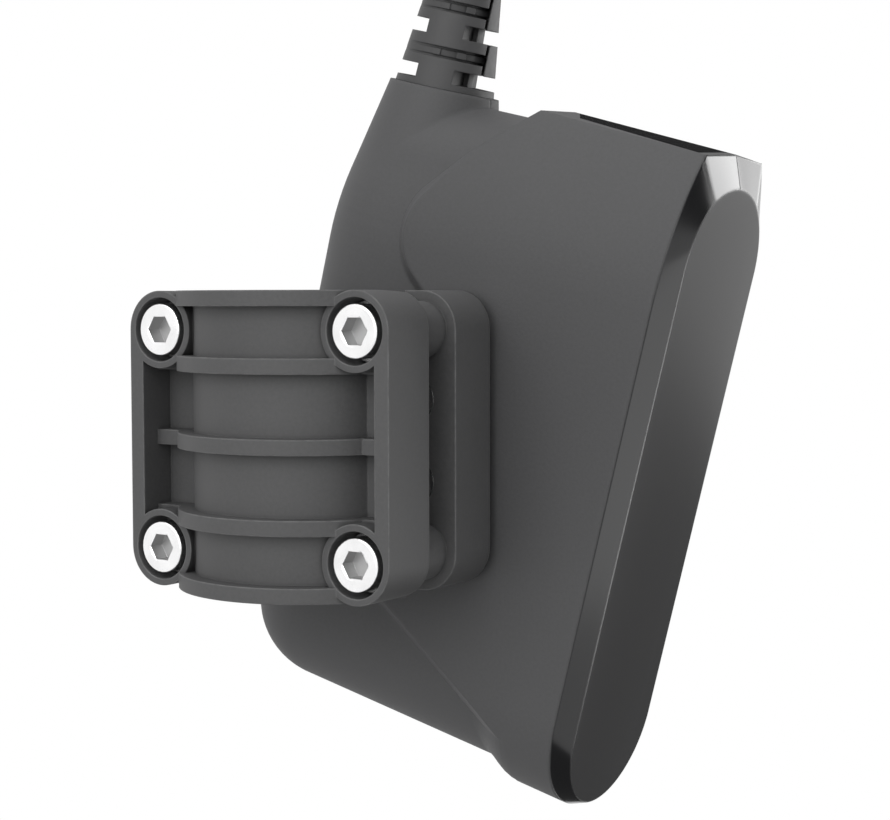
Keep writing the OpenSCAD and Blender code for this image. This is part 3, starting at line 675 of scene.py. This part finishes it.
def tongue_half(radius):
    """Near half of the round-ended tongue behind the rim, point for point with the rim."""
    def quarter(steps, first):
        return [math.pi / 2 * i / steps for i in range(first, steps + 1)]
    rise = TONGUE_TOP_U - LOW_U
    return ([(-radius * math.sin(a), LOW_U - radius * math.cos(a)) for a in quarter(END_STEPS, 0)]
            + [(-radius, LOW_U + rise * i / SIDE_STEPS) for i in range(1, SIDE_STEPS + 1)]
            + [(-radius, TONGUE_TOP_U)]
            + [(-radius * math.cos(a), TONGUE_TOP_U + radius * math.sin(a)) for a in quarter(ROOF_STEPS, 1)])


def both_halves(half, w):
    """Closed outline at depth w in the housing's frame, turned into the object's frame."""
    whole = half + [(-y, u) for y, u in reversed(half[1:-1])]
    c, s = math.cos(TILT), math.sin(TILT)
    return [Vector((w * c + u * s, MID_Y + y, u * c - w * s)) for y, u in whole]


def add_front_window(finish):
    """The bevelled front moulding with smooth bevels and a small radius along its face and mitres."""
    shape = bmesh.new()
    outlines = [both_halves(face_half(), FACE_W), both_halves(rim_half(), FRONT_W),
                both_halves(tongue_half(TONGUE_R), FRONT_W), both_halves(tongue_half(TONGUE_R), TONGUE_W),
                both_halves(tongue_half(TONGUE_R - TONGUE_WALL), TONGUE_W),
                both_halves(tongue_half(TONGUE_R - TONGUE_WALL), FRONT_W)]
    loops = [[shape.verts.new(place) for place in outline] for outline in outlines]
    count = len(loops[0])
    for loop, following in zip(loops, loops[1:]):
        for i in range(count):
            j = (i + 1) % count
            shape.faces.new((loop[i], loop[j], following[j], following[i]))
    shape.faces.new(loops[0])
    shape.faces.new(loops[-1])
    bmesh.ops.remove_doubles(shape, verts=shape.verts, dist=MERGE)
    bmesh.ops.recalc_face_normals(shape, faces=shape.faces)
    front = set(loops[0]) | set(loops[1])
    rim = set(loops[1])
    sharp = [e for e in shape.edges
             if e.is_valid and set(e.verts) <= front and not set(e.verts) <= rim
             and len(e.link_faces) == 2 and e.calc_face_angle() > RIM_ROUND_FROM]
    bmesh.ops.bevel(shape, geom=sharp, offset=RIM_ROUND, offset_type="OFFSET", segments=RIM_ROUND_STEPS,
                    profile=0.5, affect="EDGES", clamp_overlap=True)
    mesh = bpy.data.meshes.new("front_window")
    shape.to_mesh(mesh)
    shape.free()
    smooth_with_creases(mesh)
    mesh.materials.append(finish)
    window = bpy.data.objects.new("front_window", mesh)
    bpy.context.scene.collection.objects.link(window)
    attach(window, "root")
    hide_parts("acoustic_window")


# Strain relief

def turned_solid(low, high, low_r, high_r):
    """Cone or cylinder on the Z axis between two heights."""
    shape = bmesh.new()
    bmesh.ops.create_cone(shape, cap_ends=True, segments=RELIEF_SIDES, radius1=low_r, radius2=high_r,
                          depth=high - low, matrix=Matrix.Translation((0, 0, (low + high) / 2)))
    return shape_object(shape)


def block_solid(low, high, turn):
    """Box between two corners, turned about the Z axis."""
    size = Vector(high) - Vector(low)
    place = Matrix.Rotation(turn, 4, "Z") @ Matrix.Translation((Vector(low) + Vector(high)) / 2)
    shape = bmesh.new()
    bmesh.ops.create_cube(shape, size=1.0, matrix=place @ Matrix.Diagonal((*size, 1)))
    return shape_object(shape)


def shape_object(shape):
    """Object in the scene from a finished bmesh."""
    mesh = bpy.data.meshes.new("blank")
    shape.to_mesh(mesh)
    shape.free()
    made = bpy.data.objects.new("blank", mesh)
    bpy.context.scene.collection.objects.link(made)
    return made


def carve(body, tool, operation):
    """Cuts the body with a tool or joins them; the tool is used up."""
    step = body.modifiers.new("carve", "BOOLEAN")
    step.operation = operation
    step.solver = "EXACT"
    step.object = tool
    worked = body.evaluated_get(bpy.context.evaluated_depsgraph_get())
    mesh = bpy.data.meshes.new_from_object(worked)
    body.modifiers.clear()
    body.data = mesh
    bpy.data.objects.remove(tool)
    return body


def tidy_mesh(mesh):
    """Triangles only, with the slivers left by the cuts taken out."""
    shape = bmesh.new()
    shape.from_mesh(mesh)
    bmesh.ops.remove_doubles(shape, verts=shape.verts, dist=SLIVER)
    bmesh.ops.dissolve_degenerate(shape, edges=shape.edges, dist=SLIVER)
    bmesh.ops.triangulate(shape, faces=shape.faces)
    shape.to_mesh(mesh)
    shape.free()


def open_cutter(low):
    """What an open layer leaves out: all but two broad webs."""
    reach = 2 * RELIEF_FOOT_R
    cutter = turned_solid(low, low + OPEN_T, reach, reach)
    web = block_solid((-WEB_T / 2, -2 * reach, low - MM),
                      (WEB_T / 2, 2 * reach, low + OPEN_T + MM), WEB_TURN)
    return carve(cutter, web, "DIFFERENCE")


def above_floor(cutter, low, high, radius, depth, turn):
    """Keeps what is outside a floor that falls from nothing at one end to twice the depth at the other."""
    floor = turned_solid(low - MM, high + MM, radius - depth, radius - depth)
    floor.data.transform(Matrix.Rotation(turn, 4, "Z") @ Matrix.Translation((-depth, 0, 0)))
    return carve(cutter, floor, "DIFFERENCE")


def slot_cutters(low, radius, side):
    """What a slotted layer leaves out on one side: a band with two sunk posts, two grooves and a split."""
    reach = 2 * RELIEF_FOOT_R
    top = low + SLOT_T
    turn = SLOT_TURN + (math.pi if side > 0 else 0.0)
    end = radius - SLOT_WALL
    band = block_solid((-reach, -reach, low), (end, 0, top), turn)
    for middle in (-POST_AT, POST_AT):
        post = turned_solid(low - MM, top + MM, radius - POST_SINK, radius - POST_SINK)
        sides = block_solid((middle - POST_T / 2, -reach, low - 2 * MM),
                            (middle + POST_T / 2, MM, top + 2 * MM), turn)
        carve(band, carve(post, sides, "INTERSECT"), "DIFFERENCE")
    cutters = [above_floor(band, low, top, radius, SLOT_D, turn)]
    split_low, split_top = low - LOWER_RING_T - MM, top + UPPER_RING_T + MM
    for start, z0, z1, lap in ((-reach, low - CUT_OVERLAP, low + GROOVE_T, CUT_OVERLAP),
                               (-reach, top - GROOVE_T, top + CUT_OVERLAP, 2 * CUT_OVERLAP),
                               (end - SPLIT_T, split_low, split_top, 3 * CUT_OVERLAP)):
        groove = block_solid((start, -reach, z0), (end + lap, lap, z1), turn)
        cutters.append(above_floor(groove, z0, z1, radius, GROOVE_D / 2, turn))
    return cutters


def pocket_cutter(low, side):
    """A pocket in the core beside one web of an open layer."""
    turn = WEB_TURN + (math.pi if side > 0 else 0.0)
    return block_solid((WEB_T / 2 + CUT_OVERLAP, -2 * RELIEF_FOOT_R, low + CUT_OVERLAP),
                       (WEB_T / 2 + POCKET_W, -POCKET_FLOOR, low + OPEN_T - CUT_OVERLAP), turn)


def add_strain_relief(finish):
    """The rubber relief with shallow slots between its rings, in place of the deeper cut solid."""
    relief = turned_solid(0, RELIEF_L, RELIEF_FOOT_R, RELIEF_TIP_R)
    pitch = OPEN_T + LOWER_RING_T + SLOT_T + UPPER_RING_T
    for layer in range(RELIEF_LAYERS):
        opening = FOOT_T + layer * pitch
        slot = opening + OPEN_T + LOWER_RING_T
        radius = RELIEF_FOOT_R - (RELIEF_FOOT_R - RELIEF_TIP_R) * (slot + SLOT_T / 2) / RELIEF_L
        for side in (-1, 1):
            for cutter in slot_cutters(slot, radius, side):
                carve(relief, cutter, "DIFFERENCE")
        carve(relief, open_cutter(opening), "DIFFERENCE")
    carve(relief, turned_solid(-MM, RELIEF_L - MM, CORE_R, CORE_R), "UNION")
    for layer in range(RELIEF_LAYERS):
        for side in (-1, 1):
            carve(relief, pocket_cutter(FOOT_T + layer * pitch, side), "DIFFERENCE")
    carve(relief, turned_solid(-SPIGOT_L, SPIGOT_LAP, SPIGOT_R, SPIGOT_R), "UNION")
    carve(relief, turned_solid(-SPIGOT_L - MM, RELIEF_L + MM, CABLE_R, CABLE_R), "DIFFERENCE")
    lean = Matrix.Rotation(TILT, 4, "Y") @ Matrix.Translation((RELIEF_W, MID_Y, RELIEF_U))
    relief.data.transform(lean)
    tidy_mesh(relief.data)
    smooth_with_creases(relief.data)
    relief.data.materials.clear()
    relief.data.materials.append(finish)
    relief.name = relief.data.name = "cable_relief"
    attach(relief, "root")
    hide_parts("strain_relief")


# Clamp screws

def screw_outline():
    """Rings of one screw from socket floor to tip: depth below the head's top, and radius for a turn."""
    corner = SOCKET_AF / 2 / math.cos(math.pi / 6)

    def hexagon(turn):
        return SOCKET_AF / 2 / math.cos(turn % (math.pi / 3) - math.pi / 6)

    def round_bar(radius):
        return lambda turn: radius

    def thread(depth):
        def radius(turn):
            phase = (depth / THREAD_PITCH - turn / math.tau) % 1.0
            return SHANK_R - THREAD_D * abs(2 * phase - 1)
        return radius

    rings = [(SOCKET_D, hexagon), (SOCKET_BREAK, hexagon), (0.0, round_bar(corner + SOCKET_BREAK))]
    for step in range(HEAD_ROUND_STEPS + 1):
        turn = math.pi / 2 * step / HEAD_ROUND_STEPS
        radius = HEAD_R - HEAD_ROUND * (1 - math.sin(turn))
        rings.append((HEAD_ROUND * (1 - math.cos(turn)), round_bar(radius)))
    rings += [(HEAD_H, round_bar(HEAD_R)), (HEAD_H, round_bar(SHANK_R)),
              (HEAD_H + PLAIN_L, round_bar(SHANK_R))]
    step = THREAD_PITCH / THREAD_STEPS
    count = int((SHANK_L - PLAIN_L) / step) - THREAD_STEPS
    depths = [HEAD_H + PLAIN_L + i * step for i in range(1, count + 1)]
    rings += [(depth, thread(depth)) for depth in depths]
    rings.append((HEAD_H + SHANK_L, round_bar(TIP_R)))
    return rings


def screw_blank(finish):
    """One socket-head screw along +Y with its head's top at the origin."""
    shape = bmesh.new()
    turns = [math.tau * i / SCREW_SIDES for i in range(SCREW_SIDES)]
    loops = [[shape.verts.new((radius(t) * math.cos(t), depth, radius(t) * math.sin(t))) for t in turns]
             for depth, radius in screw_outline()]
    for loop, following in zip(loops, loops[1:]):
        for i in range(SCREW_SIDES):
            j = (i + 1) % SCREW_SIDES
            shape.faces.new((loop[i], loop[j], following[j], following[i]))
    floor = shape.verts.new((0, SOCKET_D, 0))
    tip = shape.verts.new((0, HEAD_H + SHANK_L, 0))
    for i in range(SCREW_SIDES):
        j = (i + 1) % SCREW_SIDES
        shape.faces.new((floor, loops[0][j], loops[0][i]))
        shape.faces.new((tip, loops[-1][i], loops[-1][j]))
    bmesh.ops.recalc_face_normals(shape, faces=shape.faces)
    inside = set(loops[0]) | set(loops[1]) | {floor}
    marks = [1.0 if set(face.verts) <= inside else 0.0 for face in shape.faces]
    mesh = bpy.data.meshes.new("screw_blank")
    shape.to_mesh(mesh)
    shape.free()
    mesh.attributes.new(SOCKET_MARK, "FLOAT", "FACE").data.foreach_set("value", marks)
    mesh.materials.append(finish)
    return bpy.data.objects.new("screw_blank", mesh)


def make_screw_pattern():
    """Geometry tree that sets the screw it is given at the corners of an upright rectangle."""
    tree = bpy.data.node_groups.new("screw_pattern", "GeometryNodeTree")
    for label, kind in (("Screw", "NodeSocketGeometry"), ("Spacing X", "NodeSocketFloat"),
                        ("Spacing Z", "NodeSocketFloat"), ("Head Place", "NodeSocketFloat"),
                        ("Finish", "NodeSocketMaterial")):
        tree.interface.new_socket(label, in_out="INPUT", socket_type=kind)
    tree.interface.new_socket("Screws", in_out="OUTPUT", socket_type="NodeSocketGeometry")
    enter, leave = tree.nodes.new("NodeGroupInput"), tree.nodes.new("NodeGroupOutput")
    corners = node(tree, "GeometryNodeMeshGrid",
                   {"Size X": enter.outputs["Spacing X"], "Size Y": enter.outputs["Spacing Z"],
                    "Vertices X": 2, "Vertices Y": 2})
    place = node(tree, "ShaderNodeCombineXYZ", {"Y": enter.outputs["Head Place"]})
    upright = node(tree, "GeometryNodeTransform",
                   {"Geometry": corners.outputs["Mesh"], "Translation": place.outputs[0],
                    "Rotation": (math.pi / 2, 0, 0)})
    copies = node(tree, "GeometryNodeInstanceOnPoints",
                  {"Points": upright.outputs[0], "Instance": enter.outputs["Screw"]})
    solid = node(tree, "GeometryNodeRealizeInstances", {"Geometry": copies.outputs[0]})
    coated = node(tree, "GeometryNodeSetMaterial",
                  {"Geometry": solid.outputs[0], "Material": enter.outputs["Finish"]})
    tree.links.new(coated.outputs[0], leave.inputs["Screws"])
    return tree


def add_clamp_screws(finish):
    """Four finely cut screws in place of the plain ones."""
    blank = screw_blank(finish)
    bpy.context.scene.collection.objects.link(blank)
    pattern = blank.modifiers.new("pattern", "NODES")
    pattern.node_group = make_screw_pattern()
    values = {"Spacing X": SCREW_DX, "Spacing Z": SCREW_DZ, "Head Place": -HEAD_TOP, "Finish": finish}
    for item in pattern.node_group.interface.items_tree:
        if item.name in values:
            pattern[item.identifier] = values[item.name]
    dressed = blank.evaluated_get(bpy.context.evaluated_depsgraph_get())
    screws = bpy.data.objects.new("clamp_screws", bpy.data.meshes.new_from_object(dressed))
    bpy.data.objects.remove(blank)
    bpy.context.scene.collection.objects.link(screws)
    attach(screws, "root")
    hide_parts("cap_screws")


# Stage

def make_camera():
    """Camera where the photograph was taken."""
    cy, sy = math.cos(CAMERA_YAW), math.sin(CAMERA_YAW)
    cp, sp = math.cos(CAMERA_PITCH), math.sin(CAMERA_PITCH)
    ahead = Vector((-sy * cp, cy * cp, -sp))
    level = Vector((cy, sy, 0))
    upright = level.cross(ahead)
    c, s = math.cos(CAMERA_ROLL), math.sin(CAMERA_ROLL)
    right, up = c * level + s * upright, c * upright - s * level
    data = bpy.data.cameras.new("camera")
    data.sensor_fit = "HORIZONTAL"
    data.sensor_width = SENSOR_W
    data.lens = FOCAL_PX / FRAME_W_PX * SENSOR_W
    data.clip_start, data.clip_end = CLIP
    camera = bpy.data.objects.new("camera", data)
    turn = Matrix((right, up, -ahead)).transposed().to_4x4()
    camera.matrix_world = Matrix.Translation(CAMERA_AT) @ turn
    bpy.context.scene.collection.objects.link(camera)
    bpy.context.scene.camera = camera


def softbox(name, at, look, size, radiance):
    """Rectangular area light facing a point, as bright as given."""
    data = bpy.data.lights.new(name, "AREA")
    data.shape = "RECTANGLE"
    data.size, data.size_y = size
    data.energy = radiance * math.pi * size[0] * size[1]
    lamp = bpy.data.objects.new(name, data)
    lamp.location = at
    lamp.rotation_mode = "QUATERNION"
    lamp.rotation_quaternion = (Vector(look) - Vector(at)).to_track_quat("-Z", "Y")
    bpy.context.scene.collection.objects.link(lamp)
    return lamp


def card(name, at, look, size, tone):
    """Plain card of an even tone that only reflections see, to shape them as a studio's flags do."""
    mesh = bpy.data.meshes.new(name)
    half_w, half_h = size[0] / 2, size[1] / 2
    corners = [(-half_w, -half_h, 0), (half_w, -half_h, 0), (half_w, half_h, 0), (-half_w, half_h, 0)]
    mesh.from_pydata(corners, [], [(0, 1, 2, 3)])
    made = bpy.data.objects.new(name, mesh)
    turn = (Vector(look) - Vector(at)).to_track_quat("-Z", "Y")
    made.matrix_world = Matrix.Translation(at) @ turn.to_matrix().to_4x4()
    bpy.context.scene.collection.objects.link(made)
    material, _, shader, _ = start_material(name)
    shader.inputs["Base Color"].default_value = (0, 0, 0, 1)
    shader.inputs["Specular IOR Level"].default_value = 0.0
    shader.inputs["Emission Color"].default_value = (tone, tone, tone, 1)
    shader.inputs["Emission Strength"].default_value = 1.0
    mesh.materials.append(material)
    made.visible_camera = made.visible_diffuse = made.visible_shadow = False


def light_studio():
    """Broad soft light from the camera's side and above, and reflections for the glossy window."""
    for light in BROAD_LIGHTS:
        softbox(*light)
    for light in GLINT_LIGHTS:
        softbox(*light).visible_diffuse = False
    for flag in CARDS:
        card(*flag)


def background_rays(tree):
    """1 for the rays that show the white background: the camera's, and those sent on by gloss or glass."""
    path = node(tree, "ShaderNodeLightPath")
    seen = math_node(tree, "MAXIMUM", path.outputs["Is Camera Ray"], path.outputs["Is Transmission Ray"])
    return math_node(tree, "MAXIMUM", seen, path.outputs["Is Glossy Ray"])


def make_world():
    """White to the camera and in reflections, and softer light on the object."""
    world = bpy.data.worlds.new("studio")
    world.use_nodes = True
    bpy.context.scene.world = world
    tree = world.node_tree
    tree.nodes.clear()
    seen = background_rays(tree)
    soft = node(tree, "ShaderNodeBackground", {0: WHITE, 1: WORLD_LIGHT})
    white = node(tree, "ShaderNodeBackground", {0: WHITE, 1: 1.0})
    mixed = node(tree, "ShaderNodeMixShader", {0: seen, 1: soft.outputs[0], 2: white.outputs[0]})
    node(tree, "ShaderNodeOutputWorld", {0: mixed.outputs[0]})


def make_floor(lowest):
    """Round grey floor well below the object, white to the camera and in reflections."""
    mesh = bpy.data.meshes.new("floor")
    shape = bmesh.new()
    bmesh.ops.create_circle(shape, cap_ends=True, segments=FLOOR_SIDES, radius=FLOOR_R)
    shape.to_mesh(mesh)
    shape.free()
    floor = bpy.data.objects.new("floor", mesh)
    floor.location = (0, 0, lowest - FLOOR_DROP)
    bpy.context.scene.collection.objects.link(floor)
    material, tree, shader, _ = start_material("floor_paper")
    shader.inputs["Roughness"].default_value = FLOOR_DULL
    shader.inputs["Base Color"].default_value = FLOOR_GREY
    white = node(tree, "ShaderNodeEmission", {0: WHITE, 1: 1.0})
    mixed = node(tree, "ShaderNodeMixShader",
                 {0: background_rays(tree), 1: shader.outputs[0], 2: white.outputs[0]})
    tree.links.new(mixed.outputs[0], tree.nodes["Material Output"].inputs["Surface"])
    mesh.materials.append(material)


for old in list(bpy.data.objects):
    bpy.data.objects.remove(old)
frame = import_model()
cad_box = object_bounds()
make_camera()
make_groups()
finishes = finish_nodes(frame["nodes"])
add_front_window(finishes["acoustic_window"])
add_strain_relief(finishes["strain_relief"])
add_clamp_screws(finishes["cap_screws"])
make_world()
light_studio()
make_floor(cad_box[0].z)
bpy.context.scene.view_settings.view_transform = "Standard"
